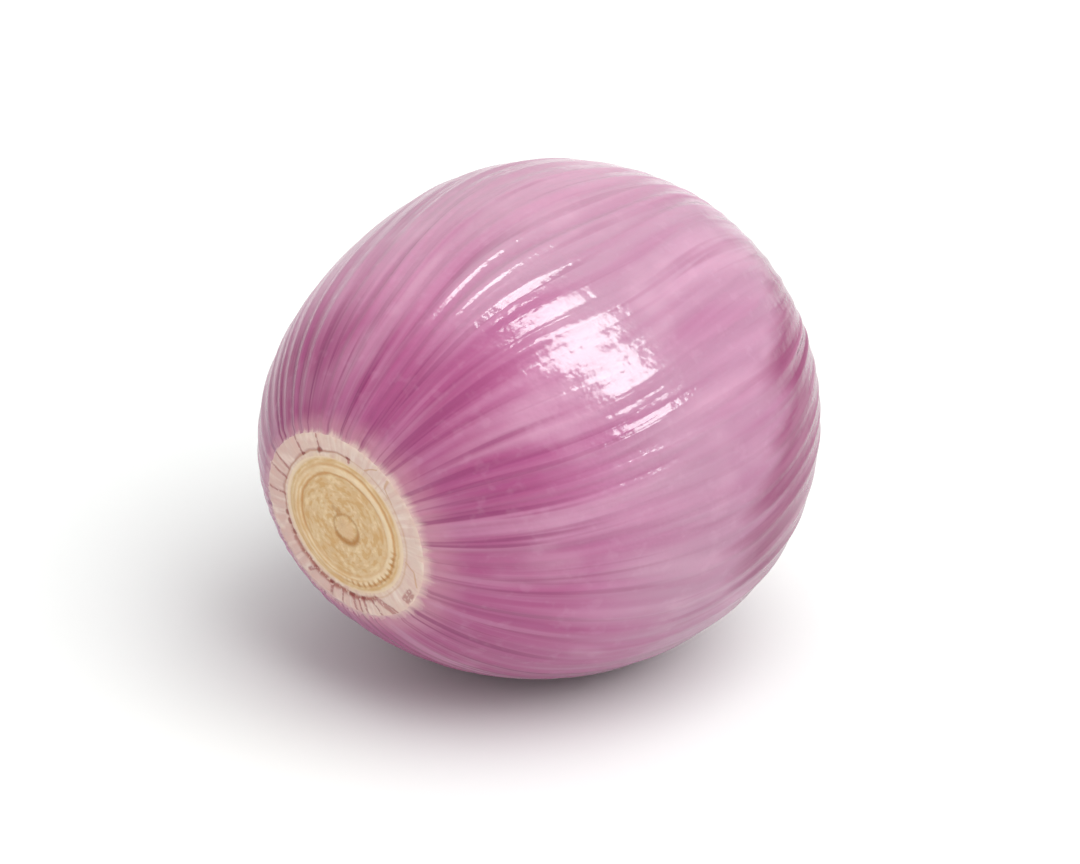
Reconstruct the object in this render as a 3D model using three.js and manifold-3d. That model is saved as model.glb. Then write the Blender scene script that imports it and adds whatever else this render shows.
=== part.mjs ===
// A peeled pink shallot, trimmed flat at the root and at the neck, lying on its side.
//
// Millimetres, +Z up. The bulb's axis runs along Y with the root end towards -Y, and it dips a
// little there, because the root half is the longer and heavier one. The origin is on the
// ground, under the middle of the bulb's bounding box.
//
// The bulb is one solid. A profile is revolved into a regular mesh, a formula then moves each
// vertex to give the oval section, the off-centre root and the veins that stand out as ribs,
// and last a flat spot is cut where the bulb rests.

import * as THREE from 'three';
import { mergeVertices } from 'three/addons/utils/BufferGeometryUtils.js';
import Module from 'manifold-3d';

// The bulb: each half is a quarter oval that would close at its reach, cut off before it does
const GIRTH_RADIUS = 18.8;
const ROOT_REACH = 22.9;
const NECK_REACH = 18.9;
const ROOT_CUT = 21.05;
const NECK_CUT = 17.5;
const SECTION_OVAL = 0.022;
const WIDEST_DIRECTION = THREE.MathUtils.degToRad(99);
const ROOT_DIP = THREE.MathUtils.degToRad(6.4);
const REST_FLAT_DEPTH = 0.4;

// The root grew off the bulb's middle: its sideways and upward drift at the root cut
const ROOT_DRIFT_X = -1.62;
const ROOT_DRIFT_Z = 0.78;

// The root cut: a hard disc with a small eye, a soft collar round it and a bevelled rim
const DISC_RADIUS = 5.0;
const DISC_PROUD = 0.13;
const DISC_EDGE = 0.3;
const EYE_RADIUS = 0.95;
const EYE_FOOT_RADIUS = 1.5;
const EYE_PROUD = 0.1;
const ROOT_BEVEL = 0.35;

// The neck cut: a slanted face with the stepped edges of its layers, inside a thin crinkled lip
const NECK_SLANT = 0.06;
const LIP_THICKNESS = 0.5;
const LIP_HEIGHT = 0.35;
const LAYER_RADII = [4.9, 2.7];
const LAYER_STEP = 0.22;
const LAYER_EDGE = 0.3;

// The ribs: veins that run from the root to the neck, most raised near both ends
const RIB_COUNT = 48;
const RIB_SEED = 11;
const RIB_SPACING_SPREAD = 0.35;
const RIB_WEAKEST = 0.4;
const RIB_HEIGHT_AT_GIRTH = 0.14;
const RIB_HEIGHT_AT_ENDS = 0.28;
const CREST_SHARE = 0.6;
const HOLLOW_SHARE = -0.3;
const RIB_FADING = 0.25;
const RIB_SWAY = 0.035;
const RIB_SWAY_LENGTH = 44;

// The mesh: one column on each rib's crest and two in the hollow beside it
const COLUMNS_PER_RIB = 3;
const ROWS_PER_HALF = 8;

const FULL_TURN = 2 * Math.PI;

// The same draws on every build
function seededRandom(seed) {
  let state = seed;
  return () => {
    state = (state * 1664525 + 1013904223) % 4294967296;
    return state / 4294967296;
  };
}

// Each rib's crest angle, the width up to the next crest, and how strong it is, as shares of 1
function makeRibs() {
  const random = seededRandom(RIB_SEED);
  const ribs = [];
  let reached = 0;
  for (let k = 0; k < RIB_COUNT; k += 1) {
    const width = 1 + RIB_SPACING_SPREAD * (2 * random() - 1);
    const strength = THREE.MathUtils.lerp(RIB_WEAKEST, 1, random());
    const phase = FULL_TURN * random();
    ribs.push({ crest: reached, width, strength, phase });
    reached += width;
  }
  for (const rib of ribs) {
    rib.crest *= FULL_TURN / reached;
    rib.width *= FULL_TURN / reached;
  }
  return ribs;
}

// The bulb's mean radius at a distance along its axis from the girth, positive towards the neck
function ovalRadius(along) {
  const reach = along < 0 ? ROOT_REACH : NECK_REACH;
  return GIRTH_RADIUS * Math.sqrt(1 - (along / reach) ** 2);
}

// One row of the revolved profile. ribbed says how much of the ribs the row shows, and bevel
// and lip how far it follows the uneven rims of the two cuts.
function row(radius, along, { ribbed = 0, bevel = 0, lip = 0 } = {}) {
  return { radius, along, ribbed, bevel, lip };
}

// The root cut's rows, from its centre outwards
function rootFaceRows() {
  const rimRadius = ovalRadius(-ROOT_CUT);
  const disc = -(ROOT_CUT + DISC_PROUD);
  return [
    row(0, disc),
    row(EYE_RADIUS, disc - EYE_PROUD),
    row(EYE_FOOT_RADIUS, disc),
    row(DISC_RADIUS, disc),
    row(DISC_RADIUS + DISC_EDGE, -ROOT_CUT),
    row(rimRadius - ROOT_BEVEL, -ROOT_CUT, { ribbed: 0.3, bevel: 0.3 }),
  ];
}

// The skin's rows from the root cut to the neck cut, evenly spaced along each half's oval
function sideRows() {
  const rows = [];
  const rootAngle = Math.asin((ROOT_CUT - ROOT_BEVEL) / ROOT_REACH);
  const neckAngle = Math.asin(NECK_CUT / NECK_REACH);
  for (let k = ROWS_PER_HALF; k > 0; k -= 1) {
    const along = -ROOT_REACH * Math.sin((rootAngle * k) / ROWS_PER_HALF);
    const onRim = k === ROWS_PER_HALF ? 1 : 0;
    rows.push(row(ovalRadius(along), along, { ribbed: 1, bevel: onRim }));
  }
  for (let k = 0; k <= ROWS_PER_HALF; k += 1) {
    const along = NECK_REACH * Math.sin((neckAngle * k) / ROWS_PER_HALF);
    const onRim = k === ROWS_PER_HALF ? 1 : 0;
    rows.push(row(ovalRadius(along), along, { ribbed: 1, lip: onRim }));
  }
  return rows;
}

// The neck cut's rows, from the lip inwards: each layer's edge stands one step above the next
function neckFaceRows() {
  const rimRadius = ovalRadius(NECK_CUT);
  const rows = [row(rimRadius - LIP_THICKNESS, NECK_CUT, { ribbed: 0.5, lip: 0.7 })];
  let level = NECK_CUT - LAYER_STEP;
  rows.push(row(rimRadius - 2 * LIP_THICKNESS, level));
  for (const radius of LAYER_RADII) {
    rows.push(row(radius, level));
    level -= LAYER_STEP;
    rows.push(row(radius - LAYER_EDGE, level));
  }
  rows.push(row(0, level + LAYER_STEP));
  return rows;
}

// The angle of a column: on a crest, or a third or two thirds of the way to the next one. The
// ribs sway a little along the bulb.
function columnAngle(ribs, column, along) {
  const rib = ribs[Math.floor(column / COLUMNS_PER_RIB)];
  const angle = rib.crest + (rib.width * (column % COLUMNS_PER_RIB)) / COLUMNS_PER_RIB;
  const turn = (FULL_TURN * along) / RIB_SWAY_LENGTH;
  return angle + RIB_SWAY * (Math.sin(turn + 2 * angle) + 0.5 * Math.sin(2 * turn + 5 * angle));
}

// How far the skin stands out from the plain oval: up on a crest, down in the hollows
function ribRelief(ribs, column, along) {
  const rib = ribs[Math.floor(column / COLUMNS_PER_RIB)];
  const towardsEnd = Math.abs(along) / (along < 0 ? ROOT_CUT : NECK_CUT);
  const height = THREE.MathUtils.lerp(RIB_HEIGHT_AT_GIRTH, RIB_HEIGHT_AT_ENDS, towardsEnd ** 3);
  const turn = (FULL_TURN * along) / RIB_SWAY_LENGTH;
  const fading = 1 - RIB_FADING * (1 - Math.sin(turn + rib.phase));
  const onCrest = column % COLUMNS_PER_RIB === 0;
  return height * rib.strength * fading * (onCrest ? CREST_SHARE : HOLLOW_SHARE);
}

// Where one vertex goes, by its column and its row
function bulbPoint(ribs, column, { radius, along, ribbed, bevel, lip }) {
  const rib = ribs[Math.floor(column / COLUMNS_PER_RIB)];
  const angle = columnAngle(ribs, column, along);
  const oval = 1 + SECTION_OVAL * Math.cos(2 * (angle - WIDEST_DIRECTION));
  const reach = radius * oval + ribbed * ribRelief(ribs, column, along);
  const drift = along < 0 ? (along / ROOT_CUT) ** 2 : 0;
  const slant = along > 0 ? NECK_SLANT * (along / NECK_CUT) ** 4 : 0;
  const uneven = 0.5 + 0.5 * Math.sin(rib.phase + (column % COLUMNS_PER_RIB));
  const rim = uneven * (bevel * ROOT_BEVEL + lip * LIP_HEIGHT);
  const x = reach * Math.sin(angle) + ROOT_DRIFT_X * drift;
  const y = along + slant * reach * Math.cos(angle) + rim;
  const z = reach * Math.cos(angle) + ROOT_DRIFT_Z * drift;
  return new THREE.Vector3(x, y, z);
}

// The bulb as a revolved profile with every vertex moved to its own place, not yet tilted
function bulbGeometry() {
  const ribs = makeRibs();
  const rows = [...rootFaceRows(), ...sideRows(), ...neckFaceRows()];
  const columns = RIB_COUNT * COLUMNS_PER_RIB;
  const profile = rows.map(({ radius, along }) => new THREE.Vector2(radius, along));
  const geometry = new THREE.LatheGeometry(profile, columns);
  const position = geometry.getAttribute('position');
  for (let index = 0; index < position.count; index += 1) {
    const column = Math.floor(index / rows.length) % columns;
    const point = bulbPoint(ribs, column, rows[index % rows.length]);
    position.setXYZ(index, point.x, point.y, point.z);
  }
  return geometry;
}

// A closed geometry as a solid: shared vertices merged, and the slivers at the poles dropped
function solidFrom(wasm, geometry) {
  const bare = geometry.clone();
  bare.deleteAttribute('normal');
  bare.deleteAttribute('uv');
  const merged = mergeVertices(bare, 1e-3);
  const corners = merged.index.array;
  const kept = [];
  for (let k = 0; k < corners.length; k += 3) {
    const [a, b, c] = corners.slice(k, k + 3);
    if (a !== b && b !== c && c !== a) {
      kept.push(a, b, c);
    }
  }
  const vertProperties = new Float32Array(merged.getAttribute('position').array);
  const triVerts = new Uint32Array(kept);
  return new wasm.Manifold(new wasm.Mesh({ numProp: 3, vertProperties, triVerts }));
}

function geometryFrom(solid) {
  const { vertProperties, triVerts } = solid.getMesh();
  const geometry = new THREE.BufferGeometry();
  geometry.setAttribute('position', new THREE.BufferAttribute(vertProperties, 3));
  geometry.setIndex(new THREE.BufferAttribute(triVerts, 1));
  return geometry;
}

// Tilts the bulb, sinks its lowest point just under the ground and cuts off what is below it
function restOnGround(wasm, geometry) {
  geometry.rotateX(ROOT_DIP);
  geometry.computeBoundingBox();
  geometry.translate(0, 0, -geometry.boundingBox.min.z - REST_FLAT_DEPTH);
  const side = 4 * GIRTH_RADIUS;
  const ground = new THREE.BoxGeometry(side, side, side);
  ground.translate(0, 0, -side / 2);
  const rested = geometryFrom(solidFrom(wasm, geometry).subtract(solidFrom(wasm, ground)));
  rested.computeBoundingBox();
  const centre = rested.boundingBox.getCenter(new THREE.Vector3());
  rested.translate(-centre.x, -centre.y, 0);
  rested.computeVertexNormals();
  return rested;
}

const wasm = await Module();
wasm.setup();

const skin = new THREE.MeshStandardMaterial({ color: 0xc078a8, roughness: 0.32, metalness: 0 });
const bulb = new THREE.Mesh(restOnGround(wasm, bulbGeometry()), skin);
bulb.name = 'shallot_bulb';

const group = new THREE.Group();
group.add(bulb);

export default group;
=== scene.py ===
# %% [markdown]
# A peeled pink shallot lies on a pale floor. It grew as one piece: a round bulb whose thin glossy
# skin is drawn over it in lengthwise veins, with one flat cut where the roots were and another
# where the neck was. The notebook wraps one sheet of skin round the bulb by a rule, closes both
# ends with their cut faces, and then spends most of its care on four finishes: the pink skin,
# the soft collar of the root cut, its hard disc, and the layered flesh of the neck cut.

# %% Load the frame
import math

import bpy
from mathutils import Matrix, Vector


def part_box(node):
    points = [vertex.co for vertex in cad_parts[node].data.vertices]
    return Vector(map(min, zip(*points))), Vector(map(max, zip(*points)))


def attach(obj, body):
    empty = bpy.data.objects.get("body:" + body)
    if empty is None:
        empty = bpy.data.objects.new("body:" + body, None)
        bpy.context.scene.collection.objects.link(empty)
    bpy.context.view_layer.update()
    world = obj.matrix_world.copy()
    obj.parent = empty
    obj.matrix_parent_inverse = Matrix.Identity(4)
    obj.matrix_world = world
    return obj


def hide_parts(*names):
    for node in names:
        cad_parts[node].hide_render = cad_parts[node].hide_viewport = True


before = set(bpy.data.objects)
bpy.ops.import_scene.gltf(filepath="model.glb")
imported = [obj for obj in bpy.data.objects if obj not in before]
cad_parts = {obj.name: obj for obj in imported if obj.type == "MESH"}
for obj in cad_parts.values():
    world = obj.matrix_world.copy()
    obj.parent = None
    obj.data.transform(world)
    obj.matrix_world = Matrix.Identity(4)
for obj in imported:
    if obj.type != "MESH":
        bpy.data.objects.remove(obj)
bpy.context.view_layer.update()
print("the frame holds", sorted(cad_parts))

# %% [markdown]
# These are the bulb's driving sizes, in millimetres, because a shallot is small and its veins
# are tenths of a millimetre high. Everything is drawn in millimetres and made metres once, at
# the end of the shape. Each half of the bulb is a quarter oval that would close at its reach
# if the cut didn't come first. The neck's lip is thin and crinkled, and LIP_UNEVEN halves its
# ups and downs, because at full height they look like the teeth of a saw.

# %% Driving sizes
MM = 0.001
GIRTH_RADIUS = 18.8
ROOT_REACH = 22.9
NECK_REACH = 18.9
ROOT_CUT = 21.05
NECK_CUT = 17.5
ROOT_DIP = math.radians(6.4)
ROOT_BEVEL = 0.35
DISC_RADIUS = 5.0
DISC_PROUD = 0.13
DISC_EDGE = 0.3
EYE_RADIUS = 1.25
LIP_THICKNESS = 0.5
LIP_UNEVEN = 0.5
LAYER_RADII = (4.9, 2.7)
LAYER_STEP = 0.22
LAYER_EDGE = 0.3
RIB_COUNT = 48
RIB_SEED = 11
RIB_SPACING_SPREAD = 0.35
RIB_WEAKEST = 0.4
COLUMNS_PER_RIB = 9
FULL_TURN = 2 * math.pi

# The four finishes, in the order of the mesh's material slots
SKIN, COLLAR, DISC, NECK = range(4)

print("length between the cuts", ROOT_CUT + NECK_CUT, "mm")

# %% [markdown]
# The veins are not evenly spaced and not equally strong. A small table of seeded draws says,
# for each rib, the angle of its crest, its strength and a phase that shifts its ups and downs
# along the bulb. A mesh with one vertex for each rib is a handy table, because Geometry Nodes
# can look up a vertex by its number: x holds the angle, y the strength and z the phase.

# %% The table of ribs
def seeded_draws(seed):
    """The same endless row of numbers from 0 to 1 on every run."""
    state = seed
    while True:
        state = (state * 1664525 + 1013904223) % 4294967296
        yield state / 4294967296


def rib_table():
    """One (crest angle, strength, phase) for each rib, and the first rib again a full turn on."""
    draws = seeded_draws(RIB_SEED)
    reached = 0.0
    rows = []
    for _ in range(RIB_COUNT):
        width = 1 + RIB_SPACING_SPREAD * (2 * next(draws) - 1)
        strength = RIB_WEAKEST + (1 - RIB_WEAKEST) * next(draws)
        phase = FULL_TURN * next(draws)
        rows.append((reached, strength, phase))
        reached += width
    table = [(angle * FULL_TURN / reached, strength, phase) for angle, strength, phase in rows]
    return table + [(FULL_TURN, table[0][1], table[0][2])]


def table_object(name, rows):
    """An object whose vertices hold the rows of a table, for Geometry Nodes to look up."""
    mesh = bpy.data.meshes.new(name)
    mesh.from_pydata(rows, [], [])
    table = bpy.data.objects.new(name, mesh)
    bpy.context.scene.collection.objects.link(table)
    return table


ribs = table_object("rib_table", rib_table())
print("ribs in the table:", len(ribs.data.vertices) - 1)

# %% [markdown]
# The profile is the line that would be seen if the bulb were sliced from root to neck: the
# root cut from its centre outwards, the side of the bulb, and the neck cut back to its centre.
# Each row of the table is one ring of vertices: x is its radius, y its place along the axis
# with the root end negative, and z the length of profile reached so far. Rows lie closer
# together where the surface has steps. Three numbers ride along in an attribute: how much of
# the ribs the ring shows, and how far it follows the bevel of the root rim or the lip of the
# neck rim. Another says which finish the strip after it wears.

# %% The profile
# The root cut's low relief as (height, radius, width): the eye's heart, the groove round it,
# the inner growth ring, the disc's edge and the crack in the collar
ROOT_FACE_RINGS = (
    (0.08, 0.0, 0.7),
    (-0.05, EYE_RADIUS, 0.35),
    (-0.06, 4.0, 0.2),
    (-0.07, DISC_RADIUS, 0.2),
    (-0.06, 5.9, 0.2),
)
# The swollen edge of each layer of the neck: its height, width and distance from the step
LAYER_EDGE_HEIGHT = 0.1
LAYER_EDGE_WIDTH = 0.18
LAYER_EDGE_OUT = 0.1
# Where the root cut stops being flat, how much its edge bulges and how uneven that edge is
FLAT_RADIUS = 6.0
BEVEL_FULLNESS = 0.15
RIM_UNEVEN = 0.12
# The ribs are at full height this far from the root rim, and the lip is uneven over this length
RIBS_FULL_AFTER = 3
LIP_REACH = 0.8
# The rings of vertices over each stretch of the profile
FACE_STEPS = 36
BEVEL_STEPS = 3
SIDE_STEPS = 56
FLESH_STEPS = 32


def oval_radius(along):
    """The bulb's mean radius at a distance from its girth, positive towards the neck."""
    reach = ROOT_REACH if along < 0 else NECK_REACH
    return GIRTH_RADIUS * math.sqrt(1 - (along / reach) ** 2)


def ring_mark(radius, place, width):
    """A soft ring round the axis: 1 at its place, falling to nothing over its width."""
    return math.exp(-(((radius - place) / width) ** 2))


def root_face_level(radius):
    """How far a point of the root cut stands out: the disc with its eye and rings, then the collar."""
    share = min(max((radius - DISC_RADIUS) / DISC_EDGE, 0), 1)
    level = DISC_PROUD * (1 - share)
    for height, place, width in ROOT_FACE_RINGS:
        level += height * ring_mark(radius, place, width)
    return level


def neck_face_level(radius):
    """How far a point of the neck cut stands in from its rim: one step down for each layer."""
    level = -LAYER_STEP
    for layer_radius in LAYER_RADII:
        share = min(max((layer_radius - radius) / LAYER_EDGE, 0), 1)
        level -= LAYER_STEP * share
        swollen = ring_mark(radius, layer_radius + LAYER_EDGE_OUT, LAYER_EDGE_WIDTH)
        level += LAYER_EDGE_HEIGHT * swollen
    return level


def profile_rows():
    """The profile's rows as dictionaries, from the root cut's centre to the neck cut's."""
    rows = []

    def add(radius, along, finish, ribbed=0.0, bevel=0.0, lip=0.0):
        rim = (ribbed, bevel, lip * LIP_UNEVEN)
        rows.append({"at": (radius, along), "finish": finish, "rim": rim})

    # The root cut's face: flat in the middle, taking up the ribs over the outer collar
    root_rim = oval_radius(-ROOT_CUT)
    face_rim = root_rim - ROOT_BEVEL
    for k in range(FACE_STEPS + 1):
        radius = face_rim * k / FACE_STEPS
        near_rim = max(0.0, (radius - FLAT_RADIUS) / (face_rim - FLAT_RADIUS))
        finish = DISC if radius < DISC_RADIUS + DISC_EDGE else COLLAR
        along = -ROOT_CUT - root_face_level(radius)
        add(radius, along, finish, ribbed=0.2 * near_rim, bevel=0.1 * near_rim)

    # The rounded edge from that face to the side
    for k in range(1, BEVEL_STEPS):
        turn = 0.5 * math.pi * k / BEVEL_STEPS
        radius = root_rim - ROOT_BEVEL * (1 - math.sin(turn)) + BEVEL_FULLNESS * math.sin(turn)
        along = -ROOT_CUT + ROOT_BEVEL * (1 - math.cos(turn))
        add(radius, along, SKIN, ribbed=0.2 + 0.2 * k / BEVEL_STEPS, bevel=RIM_UNEVEN)

    # The side, root half and then neck half
    root_angle = math.asin((ROOT_CUT - ROOT_BEVEL) / ROOT_REACH)
    neck_angle = math.asin(NECK_CUT / NECK_REACH)
    for k in range(SIDE_STEPS, 0, -1):
        along = -ROOT_REACH * math.sin(root_angle * k / SIDE_STEPS)
        from_rim = along + ROOT_CUT - ROOT_BEVEL
        ribbed = min(1.0, 0.4 + 0.6 * from_rim / RIBS_FULL_AFTER)
        bevel = max(0.0, RIM_UNEVEN - 0.1 * from_rim)
        add(oval_radius(along), along, SKIN, ribbed=ribbed, bevel=bevel)
    for k in range(SIDE_STEPS + 1):
        along = NECK_REACH * math.sin(neck_angle * k / SIDE_STEPS)
        near_rim = max(0.0, 1 - (NECK_CUT - along) / LIP_REACH)
        add(oval_radius(along), along, SKIN, ribbed=1.0, lip=near_rim)

    # The lip is folded over its own thickness, and the layers step down inside it
    neck_rim = oval_radius(NECK_CUT)
    add(neck_rim - 0.15, NECK_CUT + 0.06, SKIN, ribbed=0.8, lip=1.0)
    add(neck_rim - 0.35, NECK_CUT + 0.05, NECK, ribbed=0.6, lip=0.9)
    add(neck_rim - LIP_THICKNESS, NECK_CUT, NECK, ribbed=0.5, lip=0.7)
    add(neck_rim - 1.4 * LIP_THICKNESS, NECK_CUT - 0.6 * LAYER_STEP, NECK, ribbed=0.3, lip=0.2)
    flesh_radius = neck_rim - 2 * LIP_THICKNESS
    for k in range(FLESH_STEPS + 1):
        radius = flesh_radius * (1 - k / FLESH_STEPS)
        add(radius, NECK_CUT + neck_face_level(radius), NECK)
    return rows


def profile_object(rows):
    """The profile as a table object, with the rims and the finishes as attributes."""
    reached = 0.0
    places = []
    last = rows[0]["at"]
    for row in rows:
        reached += math.dist(last, row["at"])
        last = row["at"]
        places.append((*row["at"], reached))
    table = table_object("profile", places)
    rim = table.data.attributes.new("rim", "FLOAT_VECTOR", "POINT")
    rim.data.foreach_set("vector", [value for row in rows for value in row["rim"]])
    finish = table.data.attributes.new("finish", "INT", "POINT")
    finish.data.foreach_set("value", [row["finish"] for row in rows])
    return table


profile = profile_object(profile_rows())
skin_arcs = [v.co.z for v, f in zip(profile.data.vertices, profile.data.attributes["finish"].data)
             if f.value == SKIN]
ROOT_RIM_ARC = min(skin_arcs)
NECK_RIM_ARC = max(skin_arcs)
print("rings:", len(profile.data.vertices), "skin from", round(ROOT_RIM_ARC, 2), "to",
      round(NECK_RIM_ARC, 2), "mm along the profile")

# %% [markdown]
# Both the shape and the finishes are formulas. Placing Math nodes one by one hides a formula
# in wiring, so this small class lets it be written as plain Python: each plus, minus or times
# lays down one Math node and links it. The same class serves geometry and shader trees.

# %% Formulas that lay down nodes
class Term:
    """A number inside a node tree. Writing a formula with terms lays down its Math nodes."""

    def __init__(self, tree, socket):
        self.tree = tree
        self.socket = socket

    def math(self, operation, *others):
        node = self.tree.nodes.new("ShaderNodeMath")
        node.operation = operation
        for place, term in enumerate((self, *others)):
            feed(self.tree, node.inputs[place], term)
        return Term(self.tree, node.outputs[0])

    def __add__(self, other):
        return self.math("ADD", other)

    def __sub__(self, other):
        return self.math("SUBTRACT", other)

    def __mul__(self, other):
        return self.math("MULTIPLY", other)

    def __truediv__(self, other):
        return self.math("DIVIDE", other)

    def __pow__(self, other):
        return self.math("POWER", other)

    def __neg__(self):
        return self.math("MULTIPLY", -1.0)

    def sine(self):
        return self.math("SINE")

    def cosine(self):
        return self.math("COSINE")

    def absolute(self):
        return self.math("ABSOLUTE")

    def clamped(self):
        term = self.math("ADD", 0.0)
        term.socket.node.use_clamp = True
        return term

    def between(self, low, high):
        """0 below low, 1 above high and a smooth rise between them. low may be the larger one."""
        node = self.tree.nodes.new("ShaderNodeMapRange")
        node.interpolation_type = "SMOOTHSTEP"
        feed(self.tree, node.inputs["Value"], self)
        feed(self.tree, node.inputs["From Min"], low)
        feed(self.tree, node.inputs["From Max"], high)
        return Term(self.tree, node.outputs["Result"])


def feed(tree, socket, value):
    """Links a term, a socket or a node's first output to an input, or sets the input's value."""
    if isinstance(value, Term):
        tree.links.new(value.socket, socket)
    elif isinstance(value, bpy.types.NodeSocket):
        tree.links.new(value, socket)
    elif isinstance(value, bpy.types.Node):
        tree.links.new(value.outputs[0], socket)
    else:
        socket.default_value = value


def add_node(tree, kind, inputs=None, **settings):
    """A new node with its properties set and its inputs fed, by name or by number."""
    node = tree.nodes.new(kind)
    for name, value in settings.items():
        setattr(node, name, value)
    for name, value in (inputs or {}).items():
        feed(tree, node.inputs[name], value)
    return node


def split(tree, vector):
    """A vector's three numbers as terms."""
    node = add_node(tree, "ShaderNodeSeparateXYZ", {0: vector})
    return [Term(tree, socket) for socket in node.outputs]


def join(tree, x, y, z):
    """Three numbers as one vector socket."""
    return add_node(tree, "ShaderNodeCombineXYZ", {0: x, 1: y, 2: z}).outputs[0]


def blend(tree, low, high, share):
    """The number that lies the given share of the way from low to high."""
    node = add_node(tree, "ShaderNodeMix", {0: share, 2: low, 3: high})
    return Term(tree, node.outputs[0])


print("formula helpers are ready")

# %% [markdown]
# Wrapping the sheet: a flat grid has one column for each ninth of a rib and one row for each
# ring of the profile. The tree looks up each vertex's rib and ring, sways the ribs a little,
# raises their crests, makes the section slightly oval, lets the root end drift off the middle
# and tilts the whole bulb. A lathe (the Screw modifier) could revolve the profile, but it
# knows nothing of ribs, so the rule is written out. Three attributes are left for the
# finishes: the place on the untilted bulb, the place along and across the veins, and how
# high the skin stands there.

# %% The tree that wraps the skin round the bulb
SHAPE_SIZES = {
    "Section oval": 0.022,
    "Widest direction": math.radians(99),
    "Root drift X": -1.62,
    "Root drift Z": 0.78,
    "Root dip": ROOT_DIP,
    "Root cut": ROOT_CUT,
    "Neck cut": NECK_CUT,
    "Neck slant": 0.06,
    "Root bevel": ROOT_BEVEL,
    "Lip height": 0.35,
    "Rib height at girth": 0.14,
    "Rib height at ends": 0.28,
    "Crest share": 0.6,
    "Hollow share": -0.3,
    "Rib fading": 0.25,
    "Rib sway": 0.035,
    "Rib sway length": 44.0,
    "Swell height": 0.16,
    "Swell size": 7.0,
    "Pucker height": 0.05,
    "Seed": 4.0,
}


def look_up(tree, table, field, index, kind):
    """The value that a field has at one vertex of a table."""
    node = add_node(tree, "GeometryNodeSampleIndex", data_type=kind, clamp=True)
    tree.links.new(table, node.inputs["Geometry"])
    tree.links.new(field, node.inputs["Value"])
    feed(tree, node.inputs["Index"], index)
    return node.outputs[0]


def named_attribute(tree, name, kind):
    node = add_node(tree, "GeometryNodeInputNamedAttribute", {"Name": name}, data_type=kind)
    return node.outputs["Attribute"]


def store(tree, geometry, name, kind, value, domain="POINT"):
    """Stores a value on the geometry under a name, and gives the geometry on."""
    node = add_node(tree, "GeometryNodeStoreNamedAttribute", {"Name": name},
                    data_type=kind, domain=domain)
    tree.links.new(geometry, node.inputs["Geometry"])
    feed(tree, node.inputs["Value"], value)
    return node.outputs[0]


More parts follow.
